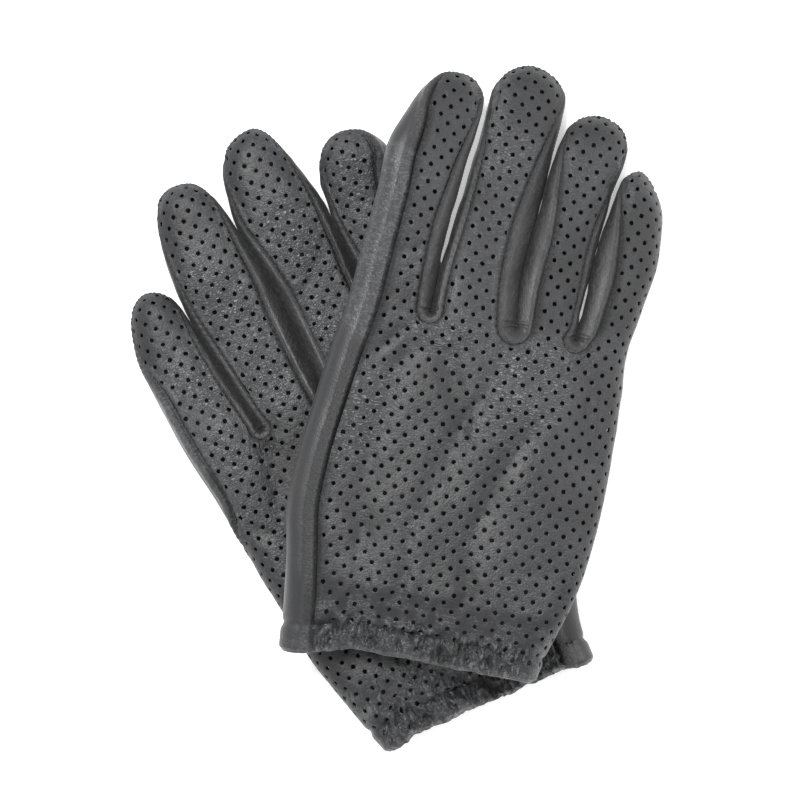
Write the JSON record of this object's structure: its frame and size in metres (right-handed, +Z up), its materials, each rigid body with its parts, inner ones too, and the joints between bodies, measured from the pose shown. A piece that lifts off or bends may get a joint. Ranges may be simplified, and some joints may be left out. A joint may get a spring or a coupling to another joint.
{
  "type": "pair of leather driving gloves",
  "caption": "Short-cuffed driving gloves of perforated leather with smooth palms, finger side walls and gathered cuffs, lying crossed, back side up.",
  "frame": {"origin": "centre of the pair's bounding box, on the table the gloves lie on", "axes": "+Z up from the table, +Y towards the fingertips of the upper glove, +X to its little-finger side"},
  "size_m": [0.1878, 0.2396, 0.0414],
  "materials": {
    "perforated_leather": "fine-grained nappa with a staggered pattern of punched holes",
    "smooth_leather": "fine-grained nappa, soft sheen",
    "hem_leather": "turned-in edge of the same leather, flesh side out",
    "elastic": "woven elastic",
    "thread": "twisted sewing thread"
  },
  "bodies": {
    "left_hand": {"left_back": "perforated_leather", "left_palm": "smooth_leather", "left_fourchette_bends": "smooth_leather", "left_cuff_hem": "hem_leather", "left_cuff_elastic": "elastic", "left_hem_stitching": "thread", "left_index_back": "perforated_leather", "left_index_palm": "smooth_leather", "left_index_fourchette": "smooth_leather", "left_middle_back": "perforated_leather", "left_middle_palm": "smooth_leather", "left_middle_fourchettes": "smooth_leather"},
    "left_ring": {"left_ring_back": "perforated_leather", "left_ring_palm": "smooth_leather", "left_ring_fourchettes": "smooth_leather"},
    "left_little": {"left_little_back": "perforated_leather", "left_little_palm": "smooth_leather", "left_little_fourchette": "smooth_leather"},
    "left_thumb": {"left_thumb_back": "smooth_leather", "left_thumb_inner": "smooth_leather"},
    "right_hand": {"right_back": "perforated_leather", "right_palm": "smooth_leather", "right_fourchette_bends": "smooth_leather", "right_cuff_hem": "hem_leather", "right_cuff_elastic": "elastic", "right_hem_stitching": "thread"},
    "right_index": {"right_index_back": "perforated_leather", "right_index_palm": "smooth_leather", "right_index_fourchette": "smooth_leather"},
    "right_middle": {"right_middle_back": "perforated_leather", "right_middle_palm": "smooth_leather", "right_middle_fourchettes": "smooth_leather"},
    "right_ring": {"right_ring_back": "perforated_leather", "right_ring_palm": "smooth_leather", "right_ring_fourchettes": "smooth_leather"},
    "right_little": {"right_little_back": "perforated_leather", "right_little_palm": "smooth_leather", "right_little_fourchette": "smooth_leather"},
    "right_thumb": {"right_thumb_back": "smooth_leather", "right_thumb_inner": "smooth_leather"}
  },
  "joints": [
    {"name": "left_ring_fold", "type": "hinge", "parent": "left_hand", "child": "left_ring", "pos_m": [-0.0354, -0.00323, 0.0212], "axis": [0.8661, 0.4999, 0], "range_deg": [0, 50]},
    {"name": "left_little_fold", "type": "hinge", "parent": "left_hand", "child": "left_little", "pos_m": [-0.05989, -0.01413, 0.0212], "axis": [0.8582, 0.5134, 0], "range_deg": [0, 60]},
    {"name": "left_thumb_swing", "type": "hinge", "parent": "left_hand", "child": "left_thumb", "pos_m": [0.04466, -0.05471, 0.006], "axis": [0, 0, -1], "range_deg": [0, 50]},
    {"name": "right_glove_lift", "type": "slide", "parent": "left_hand", "child": "right_hand", "axis": [0, 0, 1], "range_m": [0, 0.1]},
    {"name": "right_index_fold", "type": "hinge", "parent": "right_hand", "child": "right_index", "pos_m": [-0.00242, 0.03531, 0.04186], "axis": [0.9709, -0.2396, -0.0048], "range_deg": [0, 60]},
    {"name": "right_middle_fold", "type": "hinge", "parent": "right_hand", "child": "right_middle", "pos_m": [0.02674, 0.02964, 0.04044], "axis": [0.9675, -0.184, -0.1737], "range_deg": [0, 60]},
    {"name": "right_ring_fold", "type": "hinge", "parent": "right_hand", "child": "right_ring", "pos_m": [0.05207, 0.02472, 0.03399], "axis": [0.9471, -0.1807, -0.2652], "range_deg": [0, 60]},
    {"name": "right_little_fold", "type": "hinge", "parent": "right_hand", "child": "right_little", "pos_m": [0.07214, 0.02082, 0.02835], "axis": [0.9286, -0.2749, -0.2494], "range_deg": [0, 60]},
    {"name": "right_thumb_swing", "type": "hinge", "parent": "right_hand", "child": "right_thumb", "pos_m": [-0.01618, -0.0431, 0.0268], "axis": [0, 0, 1], "range_deg": [0, 50]}
  ]
}
